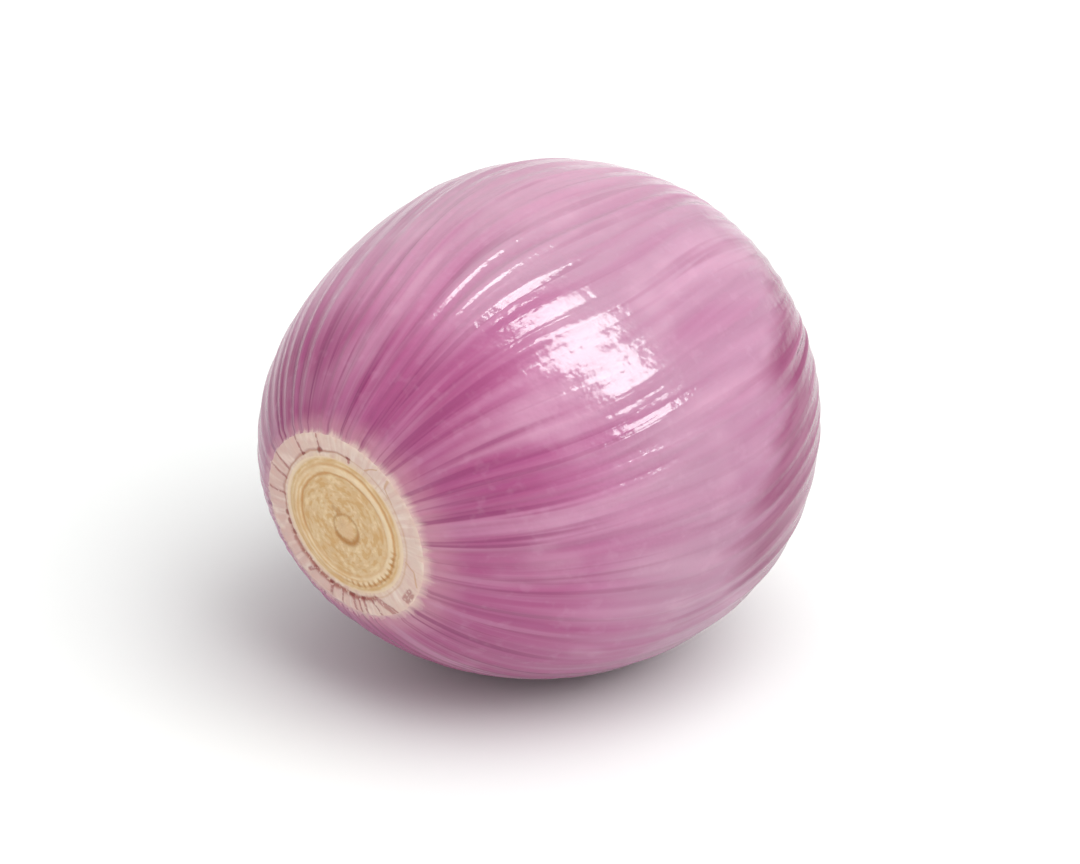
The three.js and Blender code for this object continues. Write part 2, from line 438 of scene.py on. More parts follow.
def build_wrap_tree():
    tree = bpy.data.node_groups.new("wrap_skin", "GeometryNodeTree")
    tree.interface.new_socket("Geometry", in_out="OUTPUT", socket_type="NodeSocketGeometry")
    for name in ("Rib table", "Profile"):
        tree.interface.new_socket(name, in_out="INPUT", socket_type="NodeSocketObject")
    for name, value in (("Ribs", RIB_COUNT), ("Columns per rib", COLUMNS_PER_RIB)):
        socket = tree.interface.new_socket(name, in_out="INPUT", socket_type="NodeSocketInt")
        socket.default_value = value
    for name, value in SHAPE_SIZES.items():
        socket = tree.interface.new_socket(name, in_out="INPUT", socket_type="NodeSocketFloat")
        socket.default_value = value
    for name in ("Skin", "Collar", "Disc", "Neck"):
        tree.interface.new_socket(name, in_out="INPUT", socket_type="NodeSocketMaterial")

    given = tree.nodes.new("NodeGroupInput").outputs
    size = {name: Term(tree, given[name]) for name in SHAPE_SIZES}
    rib_points = add_node(tree, "GeometryNodeObjectInfo", {"Object": given["Rib table"]})
    ring_points = add_node(tree, "GeometryNodeObjectInfo", {"Object": given["Profile"]})
    rib_geometry = rib_points.outputs["Geometry"]
    ring_geometry = ring_points.outputs["Geometry"]
    ring_count = add_node(tree, "GeometryNodeAttributeDomainSize", {"Geometry": ring_geometry})
    rings = Term(tree, ring_count.outputs["Point Count"])
    per_rib = Term(tree, given["Columns per rib"])
    columns = Term(tree, given["Ribs"]) * per_rib

    grid = add_node(tree, "GeometryNodeMeshGrid", {
        "Size X": columns,
        "Size Y": rings - 1.0,
        "Vertices X": columns + 1.0,
        "Vertices Y": rings,
    })
    place = tree.nodes.new("GeometryNodeInputPosition").outputs[0]
    grid_x, grid_y, _ = split(tree, place)
    column = (grid_x + columns * 0.5).math("ROUND")
    ring = grid_y + (rings - 1.0) * 0.5
    strip = (ring - 0.25).math("FLOOR")

    rib = (column / per_rib).math("FLOOR")
    share = column / per_rib - rib
    rib_here = split(tree, look_up(tree, rib_geometry, place, rib, "FLOAT_VECTOR"))
    rib_next = split(tree, look_up(tree, rib_geometry, place, rib + 1.0, "FLOAT_VECTOR"))
    straight_angle, strength, phase = (
        blend(tree, here, there, share) for here, there in zip(rib_here, rib_next))
    radius, along, arc = split(
        tree, look_up(tree, ring_geometry, place, ring.math("ROUND"), "FLOAT_VECTOR"))
    rim_field = named_attribute(tree, "rim", "FLOAT_VECTOR")
    ribbed, bevel, lip = split(
        tree, look_up(tree, ring_geometry, rim_field, ring.math("ROUND"), "FLOAT_VECTOR"))
    finish_field = named_attribute(tree, "finish", "INT")
    finish = look_up(tree, ring_geometry, finish_field, strip, "INT")

    turn = along * FULL_TURN / size["Rib sway length"]
    slow_sway = (turn + straight_angle * 2.0).sine()
    quick_sway = (turn * 2.0 + straight_angle * 5.0).sine()
    angle = straight_angle + size["Rib sway"] * (slow_sway + quick_sway * 0.5)

    towards_root = (-along / size["Root cut"]).clamped()
    towards_neck = (along / size["Neck cut"]).clamped()
    towards_end = (towards_root + towards_neck) ** 3.0
    height = blend(tree, size["Rib height at girth"], size["Rib height at ends"], towards_end)
    fading = size["Rib fading"] * ((turn + phase).sine() - 1.0) + 1.0
    crest = (share * math.pi).cosine() ** 4.0
    crest_level = blend(tree, size["Hollow share"], size["Crest share"], crest)
    relief = height * strength * fading * crest_level

    plain_place = join(tree, radius * angle.sine(), along, radius * angle.cosine())
    swell_noise = add_node(tree, "ShaderNodeTexNoise", {
        "Vector": plain_place, "W": size["Seed"], "Scale": size["Swell size"] ** -1.0, "Detail": 1.0,
    }, noise_dimensions="4D")
    swell = (Term(tree, swell_noise.outputs[0]) - 0.5) * size["Swell height"]

    pucker_place = join(tree, angle.sine() * 9.0, arc * 0.35, angle.cosine() * 9.0)
    pucker_noise = add_node(tree, "ShaderNodeTexNoise", {
        "Vector": pucker_place, "W": size["Seed"], "Scale": 1.0, "Detail": 2.0,
    }, noise_dimensions="4D")
    pucker = (Term(tree, pucker_noise.outputs[0]) - 0.5) * size["Pucker height"]

    oval = ((angle - size["Widest direction"]) * 2.0).cosine() * size["Section oval"] + 1.0
    reach = radius * oval + ribbed * (relief + swell + pucker)
    uneven = (phase + share * FULL_TURN).sine() * 0.5 + 0.5
    rim = uneven * (bevel * size["Root bevel"] + lip * size["Lip height"])
    slant = towards_neck ** 4.0 * size["Neck slant"]
    drift = (along.math("MINIMUM", 0.0) / size["Root cut"]) ** 2.0
    own_x = reach * angle.sine()
    own_z = reach * angle.cosine()
    own_y = along + slant * own_z + rim
    bulb_place = join(tree, own_x, own_y, own_z)
    drifted = join(tree, own_x + drift * size["Root drift X"], own_y,
                   own_z + drift * size["Root drift Z"])
    tilted = add_node(tree, "ShaderNodeVectorRotate", {
        "Vector": drifted, "Angle": size["Root dip"]}, rotation_type="X_AXIS")
    final = add_node(tree, "ShaderNodeVectorMath", {0: tilted, "Scale": MM}, operation="SCALE")

    vein_path = join(tree, straight_angle.sine(), arc, straight_angle.cosine())
    vein_relief = crest_level * strength * fading
    sheet = store(tree, grid.outputs["Mesh"], "finish", "INT", finish, domain="FACE")
    sheet = store(tree, sheet, "bulb_place", "FLOAT_VECTOR", bulb_place)
    sheet = store(tree, sheet, "vein_path", "FLOAT_VECTOR", vein_path)
    sheet = store(tree, sheet, "vein_relief", "FLOAT", vein_relief)
    moved = add_node(tree, "GeometryNodeSetPosition", {"Geometry": sheet, "Position": final})
    closed = add_node(tree, "GeometryNodeMergeByDistance", {
        "Geometry": moved, "Distance": 0.001 * MM})
    smooth = add_node(tree, "GeometryNodeSetShadeSmooth", {"Geometry": closed})
    real = add_node(tree, "GeometryNodeRealizeInstances", {"Geometry": smooth})
    dressed = add_node(tree, "GeometryNodeSetMaterial", {"Geometry": real, "Material": given["Skin"]})
    for number, name in ((COLLAR, "Collar"), (DISC, "Disc"), (NECK, "Neck")):
        is_worn = add_node(tree, "FunctionNodeCompare", data_type="INT", operation="EQUAL")
        tree.links.new(named_attribute(tree, "finish", "INT"), is_worn.inputs[2])
        is_worn.inputs[3].default_value = number
        dressed = add_node(tree, "GeometryNodeSetMaterial", {
            "Geometry": dressed, "Selection": is_worn, "Material": given[name]})
    output = tree.nodes.new("NodeGroupOutput")
    tree.links.new(dressed.outputs[0], output.inputs["Geometry"])
    return tree


wrap_tree = build_wrap_tree()
print("the wrapping tree has", len(wrap_tree.nodes), "nodes")

# %% [markdown]
# Colours are picked on screen as hex codes, but nodes work with linear light, so one helper
# translates them. The others build each finish up the way a painter would: a ground colour,
# and over it one coat after another, each with a mask that says where it lies. Bump heights
# are given in millimetres too.

# %% Helpers for finishes
def paint(code):
    """A colour picked on screen, as the linear numbers that nodes work with."""
    channels = [int(code[k:k + 2], 16) / 255 for k in (1, 3, 5)]
    linear = [c / 12.92 if c <= 0.04045 else ((c + 0.055) / 1.055) ** 2.4 for c in channels]
    return (*linear, 1.0)


def painted_over(tree, ground, *coats):
    """The ground colour with each coat, a (mask, colour) pair, painted over it in turn."""
    for mask, colour in coats:
        coat = add_node(tree, "ShaderNodeMix", {0: mask, 6: ground, 7: colour}, data_type="RGBA")
        ground = coat.outputs[2]
    return ground


def new_finish(name):
    """A material, its node tree and its Principled BSDF."""
    material = bpy.data.materials.new(name)
    material.use_nodes = True
    return material, material.node_tree, material.node_tree.nodes["Principled BSDF"]


def attribute(tree, name):
    """The vector that the wrapping tree stored on the mesh under this name."""
    node = add_node(tree, "ShaderNodeAttribute", attribute_name=name)
    return node.outputs["Vector"]


def attribute_number(tree, name):
    node = add_node(tree, "ShaderNodeAttribute", attribute_name=name)
    return Term(tree, node.outputs["Fac"])


def raise_surface(tree, shader, height):
    """Bumps the surface by a height in millimetres."""
    bump = add_node(tree, "ShaderNodeBump", {"Height": height, "Distance": MM, "Strength": 1.0})
    feed(tree, shader.inputs["Normal"], bump)


def towards(angle, degrees):
    """1 in one clock direction round the bulb's axis, 0 a quarter turn off and -1 opposite it."""
    return (angle - math.radians(degrees)).cosine()


def set_constants(shader, **values):
    """Sets sockets that are the same all over, such as Specular_IOR_Level=0.2."""
    for name, value in values.items():
        shader.inputs[name.replace("_", " ")].default_value = value


def let_light_in(shader, weight, depth, reach):
    """Lets a share of the light in, to a depth in mm times the reach of red, green and blue."""
    set_constants(shader, Subsurface_Weight=weight, Subsurface_Scale=depth * MM,
                  Subsurface_Radius=reach)


print("deep magenta in linear light:", [round(c, 3) for c in paint("#A04B7A")])

# %% [markdown]
# Three effects turn up in more than one finish, so each is a node group. Lengthwise streaks
# are noise on a path: the crest angle's sine and cosine give a circle with no seam, and the
# distance along the profile is squeezed, so the noise is drawn out along the veins. Speckle is
# plain noise of a given size. A ring line is a mask round the axis.

# %% Effects that several finishes share
def new_group(name, vectors, numbers):
    """An empty shader group with a Value output, its input sockets and its output node."""
    group = bpy.data.node_groups.new(name, "ShaderNodeTree")
    group.interface.new_socket("Value", in_out="OUTPUT", socket_type="NodeSocketFloat")
    for label in vectors:
        group.interface.new_socket(label, in_out="INPUT", socket_type="NodeSocketVector")
    for label in numbers:
        group.interface.new_socket(label, in_out="INPUT", socket_type="NodeSocketFloat")
    return group, group.nodes.new("NodeGroupInput").outputs, group.nodes.new("NodeGroupOutput")


def build_streaks_group():
    group, given, result = new_group(
        "lengthwise_streaks", ["Path"], ["Across", "Along", "Detail", "Seed"])
    sine, arc, cosine = split(group, given["Path"])
    across = Term(group, given["Across"])
    along = Term(group, given["Along"])
    path = join(group, sine * across, arc * along, cosine * across)
    noise = add_node(group, "ShaderNodeTexNoise", {
        "Vector": path, "W": given["Seed"], "Scale": 1.0, "Detail": given["Detail"],
        "Roughness": 0.5,
    }, noise_dimensions="4D")
    feed(group, result.inputs["Value"], noise)
    return group


def build_speckle_group():
    group, given, result = new_group("speckle", ["Place"], ["Size", "Seed"])
    noise = add_node(group, "ShaderNodeTexNoise", {
        "Vector": given["Place"], "W": given["Seed"],
        "Scale": Term(group, given["Size"]) ** -1.0, "Detail": 2.0, "Roughness": 0.55,
    }, noise_dimensions="4D")
    feed(group, result.inputs["Value"], noise)
    return group


def build_ring_group():
    group, given, result = new_group("ring_line", [], ["Radius", "At", "Width"])
    gap = (Term(group, given["Radius"]) - Term(group, given["At"])).absolute()
    feed(group, result.inputs["Value"], gap.between(Term(group, given["Width"]), 0.0))
    return group


STREAKS = build_streaks_group()
SPECKLE = build_speckle_group()
RING = build_ring_group()


def use_group(tree, group, **inputs):
    node = tree.nodes.new("ShaderNodeGroup")
    node.node_tree = group
    for name, value in inputs.items():
        feed(tree, node.inputs[name], value)
    return Term(tree, node.outputs["Value"])


def ring_line(tree, radius, at, width):
    return use_group(tree, RING, Radius=radius, At=at, Width=width)


print("shared effects:", [group.name for group in (STREAKS, SPECKLE, RING)])

# %% [markdown]
# The skin is a thin, wet-looking film over pale flesh. Its colour is richest just off the root
# cut and pales towards the neck, and at both rims the pink runs out into cream. It isn't the
# same all round: one flank stays richer and carries a dark streaky patch, partly its own deeper
# colour and partly painted shade. Another flank has painted shade near the root, and the top
# has painted light, so it pales early. Over that lie broad bands, finer streaks, and close
# to the ends the dark threads of the veins. A colour ramp could hold the lengthwise change,
# but separate coats with soft streaky edges keep it from looking like printed rings. The fine
# ridges and the gloss are strongest on one side, so the rest keeps a smooth sheen. A little
# light goes through the skin into the flesh.

# %% The pink skin
# Where each change round the bulb has its middle, in degrees from the top towards +X
RICH_SIDE = 90
GLOSSY_SIDE = 30
PAINTED_SHADE_SIDE = -65
PAINTED_LIGHT_SIDE = -28
LOW_SIDE = -135
PATCH_SIDE = 105
# How far the dark patch, partly painted shade, draws back towards the neck a quarter turn from its
# middle, in mm
PATCH_SLANT = 27.0


def make_skin():
    material, tree, shader = new_finish("pink_shallot_skin")
    path = attribute(tree, "vein_path")
    place = attribute(tree, "bulb_place")
    relief = attribute_number(tree, "vein_relief")
    sine, arc, cosine = split(tree, path)
    angle = sine.math("ARCTAN2", cosine)
    from_root = arc - ROOT_RIM_ARC
    to_neck = -arc + NECK_RIM_ARC

    # Noise drawn out along the veins, from broad to fine, and noise that lies in spots
    broad = use_group(tree, STREAKS, Path=path, Across=2.2, Along=0.08, Detail=1.0, Seed=1.0)
    bands = use_group(tree, STREAKS, Path=path, Across=6.0, Along=0.05, Detail=1.0, Seed=2.0)
    streaks = use_group(tree, STREAKS, Path=path, Across=14.0, Along=0.07, Detail=1.0, Seed=3.0)
    threads = use_group(tree, STREAKS, Path=path, Across=30.0, Along=0.09, Detail=1.0, Seed=4.0)
    clouds = use_group(tree, SPECKLE, Place=place, Size=6.0, Seed=5.0)
    mottle = use_group(tree, SPECKLE, Place=place, Size=1.2, Seed=6.0)

    # The pink from root to neck, and the cream that it runs out into at both rims
    near_root = from_root.between(14.0, 5.0)
    near_neck = to_neck.between(14.0, 4.0)
    streaky = (bands - 0.5) * 8.0 + (streaks - 0.5) * 6.0 + (broad - 0.5) * 10.0
    mid = (from_root + streaky).between(20.8, 10.8)
    deep = (from_root + streaky).between(13.8, 5.8)
    ragged_root = from_root + (streaks - 0.5) * 1.1 + (threads - 0.5) * 0.7
    ragged_neck = to_neck + (streaks - 0.5) * 6.0 + (threads - 0.5) * 3.0
    soft_side = towards(angle, RICH_SIDE) * 0.45 + 0.6
    low_side = towards(angle, LOW_SIDE).between(0.4, 0.95)
    rosy = ragged_root.between(soft_side * 2.6 + 0.8, 0.2)
    creamy = ragged_root.between(soft_side * 0.9 + low_side * 0.7, -0.4)
    neck_blush = ragged_neck.between(6.0, 1.5)
    neck_cream = ragged_neck.between(2.4, 0.2)

    # What differs from one side of the bulb to another, with painted shade and painted light among it
    rich_flank = towards(angle, RICH_SIDE).between(0.2, 0.9) * from_root.between(15.0, 25.0)
    # The dark streaky patch on one flank is partly the skin's own deeper colour and partly painted
    # shade along that edge
    patch_reach = towards(angle, PATCH_SIDE) * PATCH_SLANT - PATCH_SLANT + from_root
    patch_reach = patch_reach + (bands - 0.5) * 12.0 + (streaks - 0.5) * 8.0
    deep_patch_and_shade = patch_reach.between(21.8, 27.6) * to_neck.between(-2.0, 10.0)
    glossy_side = towards(angle, GLOSSY_SIDE).between(0.2, 0.85)
    # Painted shade: one flank is painted darker near the root, where shade falls on it
    painted_shade = towards(angle, PAINTED_SHADE_SIDE).between(0.5, 0.95) * near_root
    # Painted light: the top is painted paler from a little past the root rim on, where more light
    # falls
    painted_top_light = towards(angle, PAINTED_LIGHT_SIDE).between(0.6, 0.97) * from_root.between(7.0, 13.0)

    # The dark threads of the veins, with pale lines between them
    furrows = use_group(tree, STREAKS, Path=path, Across=22.0, Along=0.05, Detail=1.5, Seed=9.0)
    veins = (furrows.between(0.47, 0.34) + relief.between(0.3, 0.6) * 0.3).clamped()
    furrowed = blend(tree, 0.75, 0.4, soft_side) * near_root
    vein_strength = furrowed + near_neck * 0.35 + broad.between(0.45, 0.6) * 0.2 + 0.08
    pale_lines = furrows.between(0.54, 0.7)

    colour = painted_over(
        tree, paint("#AC8499"),
        (mid, paint("#AB6A8E")),
        (rich_flank * 0.45, paint("#9C6284")),
        (deep * 0.9, paint("#A04B7A")),
        (clouds.between(0.5, 0.7) * 0.25, paint("#CDA6B9")),
        (bands.between(0.52, 0.72) * 0.34, paint("#CFA2B8")),
        (bands.between(0.48, 0.28) * 0.36, paint("#A35B84")),
        # painted light on the top of the bulb
        (painted_top_light * 0.28, paint("#CB9AAF")),
        # the dark patch: the skin's own deeper colour and painted shade
        (deep_patch_and_shade * 0.92, paint("#7E305A")),
        # painted shade on one flank near the root
        (painted_shade * 0.45, paint("#85415F")),
        (glossy_side * near_root * 0.28, paint("#8A3A64")),
        (streaks.between(0.5, 0.7) * 0.13, paint("#CF9FB8")),
        (streaks.between(0.5, 0.3) * (near_root * 0.2 + 0.2), paint("#994677")),
        (threads.between(0.5, 0.72) * 0.07, paint("#CE9DB7")),
        (pale_lines * (near_root * 0.19 + 0.03), paint("#C486A8")),
        (rosy * 0.65, paint("#C08A98")),
        (veins * vein_strength.clamped(), paint("#81305F")),
        (mottle.between(0.54, 0.7) * (deep_patch_and_shade * -0.06 + 0.07), paint("#D6B0C4")),
        (neck_blush * 0.6, paint("#C898A2")),
        (creamy * 0.9, paint("#DBC3B6")),
        (neck_cream * 0.9, paint("#DCC5B0")),
    )
    feed(tree, shader.inputs["Base Color"], colour)

    # Ridges and a fine crinkle, strong where the skin is glossy, and a grain all over
    grain = use_group(tree, SPECKLE, Place=place, Size=0.12, Seed=7.0)
    crinkle = use_group(tree, SPECKLE, Place=place, Size=0.9, Seed=8.0)
    ridges = (streaks - 0.5) * 0.3 + (threads - 0.5) * 0.04 - veins * 0.015 + relief * 0.1
    ridges = ridges * (near_root * -0.6 + 1.0) + (crinkle - 0.5) * 0.07
    height = ridges * (glossy_side * 0.8 + 0.2) + (grain - 0.5) * 0.0015
    raise_surface(tree, shader, height)
    dull = creamy + neck_cream
    roughness = glossy_side * -0.08 + (mottle - 0.5) * 0.04 + dull * 0.25 + 0.23
    feed(tree, shader.inputs["Roughness"], roughness)
    set_constants(shader, IOR=1.4)
    let_light_in(shader, 0.15, 0.7, (1.0, 0.42, 0.55))
    return material


skin_finish = make_skin()
print("the skin's colour is laid in", len(skin_finish.node_tree.nodes), "nodes")

# %% [markdown]
# The root cut is read from above like a clock face: a point's distance from the axis and its
# angle round it say what lies there. Both come from its place on the untilted bulb. The collar
# is the cut edge of the outer skin layers. Dry maroon skin shows in it as a broken arc round
# the disc, and in strokes that mostly run out to the rim. A stroke is a straight mark between
# two clock places, and a point's distance to that line gives its soft edge.

# %% The collar of the root cut
ARC_RADIUS = 5.9
ARC_FROM = math.radians(152)
ARC_PAST_TOP = math.radians(6)
# Each stroke as the degrees and radius where it starts, those where it ends, and its width
COLLAR_STROKES = (
    (153, 5.9, 144, 7.3, 0.32), (150, 6.0, 141, 7.3, 0.15), (159, 6.0, 155, 7.3, 0.15),
    (168, 5.9, 166, 7.3, 0.22), (173, 6.0, 171, 7.3, 0.15), (178, 5.9, 176, 7.3, 0.2),
    (187, 6.0, 186, 7.2, 0.12), (197, 5.9, 196, 7.3, 0.24), (214, 5.9, 216, 6.6, 0.25),
    (273, 5.9, 273, 7.5, 0.16), (288, 5.9, 289, 7.5, 0.16), (297, 5.9, 299, 7.5, 0.16),
    (320, 5.9, 322, 7.4, 0.18), (340, 5.9, 341, 7.3, 0.14), (6, 6.1, 8, 5.6, 0.16),
    (119, 6.8, 127, 6.8, 0.34), (120, 7.15, 127, 7.1, 0.3),
)
TAN_STROKES = (
    (40, 7.0, 42, 6.3, 0.14), (42, 6.3, 52, 5.9, 0.1), (100, 5.8, 103, 6.6, 0.12),
    (103, 6.6, 112, 7.2, 0.12), (30, 6.9, 22, 5.9, 0.1),
)
# Where the arc thickens into dark knots, as the degrees and the width of each
ARC_KNOTS = ((167, 0.22), (178, 0.25), (197, 0.22), (242, 0.25), (250, 0.2), (257, 0.25),
             (320, 0.15), (339, 0.3), (6, 0.18))


def clock_point(degrees, radius):
    """The x and z of a place on the root cut, 0 degrees at the top and 90 towards +X."""
    angle = math.radians(degrees)
    return radius * math.sin(angle), radius * math.cos(angle)


def clock_face(tree):
    """Distance from the axis and angle round it, from 0 to a full turn, and the x and z."""
    x, _, z = split(tree, attribute(tree, "bulb_place"))
    radius = (x * x + z * z).math("SQRT")
    angle = x.math("ARCTAN2", z).math("WRAP", FULL_TURN, 0.0)
    return radius, angle, x, z


def stroke(x, z, start, end, width):
    """A soft straight mark from start to end, each an x and z in millimetres."""
    run_x = end[0] - start[0]
    run_z = end[1] - start[1]
    length_squared = run_x ** 2 + run_z ** 2
    off_x = x - start[0]
    off_z = z - start[1]
    share = ((off_x * run_x + off_z * run_z) * (1 / length_squared)).clamped()
    gap_x = off_x - share * run_x
    gap_z = off_z - share * run_z
    return (gap_x * gap_x + gap_z * gap_z).math("SQRT").between(width, 0.3 * width)


def strokes(x, z, marks):
    """Several strokes as one mask, from (degrees, radius, degrees, radius, width) each."""
    mask = x * 0.0
    for start_angle, start_radius, end_angle, end_radius, width in marks:
        start = clock_point(start_angle, start_radius)
        end = clock_point(end_angle, end_radius)
        mask = mask.math("MAXIMUM", stroke(x, z, start, end, width))
    return mask


def make_collar():
    material, tree, shader = new_finish("root_collar")
    path = attribute(tree, "vein_path")
    place = attribute(tree, "bulb_place")
    radius, angle, x, z = clock_face(tree)
    streaks = use_group(tree, STREAKS, Path=path, Across=20.0, Along=0.3, Detail=1.0,
                        Seed=11.0)
    waver = use_group(tree, SPECKLE, Place=place, Size=1.6, Seed=13.0) - 0.5
    wobble = use_group(tree, SPECKLE, Place=place, Size=1.1, Seed=15.0) - 0.5
    specks = use_group(tree, SPECKLE, Place=place, Size=0.35, Seed=14.0)

    wavering = radius + waver * 0.6
    wavy_x = x + waver * 0.5
    wavy_z = z + wobble * 0.5
    in_arc = angle.between(ARC_FROM, ARC_FROM + 0.06)
    past_top = angle.between(ARC_PAST_TOP + 0.03, ARC_PAST_TOP - 0.03)
    in_arc = in_arc.math("MAXIMUM", past_top)
    bottom = towards(angle, 190).between(0.3, 0.9)
    broken = blend(tree, 0.55, specks.between(0.36, 0.48), bottom)
    arc_width = bottom * 0.18 + 0.2
    arc = ring_line(tree, wavering, ARC_RADIUS, arc_width)
    arc = arc * in_arc * broken
    tan_arc = ring_line(tree, radius + waver * 0.3, 5.85, 0.13)
    tan_marks = strokes(wavy_x, wavy_z, TAN_STROKES).math("MAXIMUM", tan_arc * 0.7)
    marks = strokes(wavy_x, wavy_z, COLLAR_STROKES) * specks.between(0.3, 0.5)
    knots = x * 0.0
    for degrees, size in ARC_KNOTS:
        knot = clock_point(degrees, ARC_RADIUS)
        beside = clock_point(degrees + 2, ARC_RADIUS)
        knots = knots.math("MAXIMUM", stroke(wavy_x, wavy_z, knot, beside, size))
    dusky_side = towards(angle, 245).between(-0.1, 0.7)

    colour = painted_over(
        tree, paint("#D7BDB1"),
        (radius.between(6.0, 5.3) * 0.8, paint("#DBC0A0")),
        (dusky_side * radius.between(5.7, 6.3) * 0.6, paint("#C6A09A")),
        (waver.between(0.02, 0.14) * 0.5, paint("#E6D4C8")),
        (wobble.between(-0.02, -0.14) * 0.5, paint("#D2AEA6")),
        (streaks.between(0.48, 0.36) * 0.4, paint("#CFA69E")),
        (streaks.between(0.54, 0.66) * 0.3, paint("#E8D6CC")),
        (specks.between(0.56, 0.7) * 0.2, paint("#C9A092")),
        (tan_marks * 0.6, paint("#C08E62")),
        (arc * 0.8, paint("#964238")),
        (marks * 0.65, paint("#98474A")),
        (knots * 0.8, paint("#842E26")),
    )
    feed(tree, shader.inputs["Base Color"], colour)
    height = (streaks - 0.5) * 0.07 + (specks - 0.5) * 0.03 + (waver + wobble) * 0.08
    raise_surface(tree, shader, height - marks * 0.04 - arc * 0.04)
    feed(tree, shader.inputs["Roughness"], (specks - 0.5) * 0.2 + 0.52)
    let_light_in(shader, 0.25, 1.0, (1.0, 0.6, 0.4))
    return material


collar_finish = make_collar()
print("collar strokes:", len(COLLAR_STROKES) + len(TAN_STROKES))

# %% [markdown]
# The disc is the stem that all the layers grow from, sliced clean. It is hard and dry, the
# colour of pale wood. Two brown growth rings run round it, each heavier on one side, and where
# the outer one faces down a row of root stubs is beaded along it. Between them the wood is
# dashed with fine grain that follows the rings, and the eye of the stem lies off the middle.

# %% The hard root disc
EYE_AT = clock_point(142, 0.31)


def make_disc():
    material, tree, shader = new_finish("root_disc")
    path = attribute(tree, "vein_path")
    place = attribute(tree, "bulb_place")
    radius, angle, x, z = clock_face(tree)
    waver = use_group(tree, SPECKLE, Place=place, Size=1.2, Seed=21.0) - 0.5
    pores = use_group(tree, SPECKLE, Place=place, Size=0.2, Seed=22.0)
    patches = use_group(tree, SPECKLE, Place=place, Size=1.3, Seed=23.0)
    dashes = use_group(tree, STREAKS, Path=path, Across=4.5, Along=2.8, Detail=1.0, Seed=24.0)
    wavering = radius + waver * 0.3

    upper_left = towards(angle, 320).between(-0.5, 0.8)
    right_side = towards(angle, 75).between(-0.3, 0.7)
    left_side = towards(angle, 235).between(-0.1, 0.5)
    lower_right = towards(angle, 138).between(0.6, 0.85)
    inner = ring_line(tree, wavering, 4.1, 0.2) * (upper_left * 0.6 + 0.4)
    outer = ring_line(tree, wavering, 4.85, 0.2) * (right_side * 0.5 + 0.5)
    third = ring_line(tree, wavering, 4.45, 0.16) * left_side
    rim = ring_line(tree, wavering, 5.15, 0.14)
    pale_ring = ring_line(tree, wavering, 4.55, 0.8)
    stubs = (angle * 50.0 + waver * 5.0).sine().between(-0.1, 0.7) * lower_right
    stubs = stubs * ring_line(tree, wavering, 4.75, 0.42)

    # The eye is a ring round a place of its own, heavier below, with a spur at its upper left
    eye_x = x - EYE_AT[0]
    eye_z = z - EYE_AT[1]
    from_eye = (eye_x * eye_x + eye_z * eye_z).math("SQRT") + waver * 0.35
    heavy = towards(eye_x.math("ARCTAN2", eye_z), 165).between(-0.4, 0.9)
    eye = ring_line(tree, from_eye, EYE_RADIUS - 0.1, heavy * 0.22 + 0.2)
    eye = eye * (heavy * 0.4 + 0.6)
    eye_heart = from_eye.between(1.0, 0.6)
    spur = stroke(x, z, clock_point(340, 0.95), clock_point(322, 1.45), 0.35)

    colour = painted_over(
        tree, paint("#D2B185"),
        (patches.between(0.48, 0.62) * 0.5, paint("#DDC298")),
        (patches.between(0.5, 0.36) * 0.4, paint("#D0A66E")),
        (dashes.between(0.5, 0.36) * 0.55, paint("#C6924E")),
        (dashes.between(0.55, 0.68) * 0.5, paint("#E8D0A8")),
        (pores.between(0.55, 0.68) * 0.3, paint("#C8975C")),
        (pale_ring * (right_side * 0.3 + 0.4), paint("#EBD5B4")),
        (inner * 0.75, paint("#C08540")),
        (third * 0.5, paint("#C8924C")),
        (outer * 0.75, paint("#C08540")),
        (rim * 0.3, paint("#CBA068")),
        (stubs * 0.75, paint("#B57A30")),
        (eye_heart * 0.8, paint("#D8B48A")),
        (eye * 0.95, paint("#AE7636")),
        (spur * 0.55, paint("#B07A3C")),
        (radius.between(5.15, 5.45), paint("#E0C8AC")),
    )
    feed(tree, shader.inputs["Base Color"], colour)
    height = (pores - 0.5) * 0.06 + (dashes - 0.5) * 0.1 + (patches - 0.5) * 0.08
    height = height - inner * 0.04 - outer * 0.05 - stubs * 0.07 - eye * 0.04
    raise_surface(tree, shader, height)
    feed(tree, shader.inputs["Roughness"], (pores - 0.5) * 0.25 + 0.6)
    let_light_in(shader, 0.15, 0.8, (1.0, 0.6, 0.35))
    return material


disc_finish = make_disc()
print("the eye lies off the middle by", [round(value, 2) for value in EYE_AT], "mm")

# %% [markdown]
# At the neck the knife goes through moist leaf bases that lie inside each other like cups. Each
# shows as a pale ring with a thin line between it and the next, a little green-yellow towards
# the heart. The skin's own cut edge is a papery crinkled lip.

# %% The flesh of the neck cut
# The thin films between the layers, besides the one at the outermost step
FILM_RADII = (6.1, 5.5, 3.9, 3.3, LAYER_RADII[1], 2.0, 1.2, 0.6)


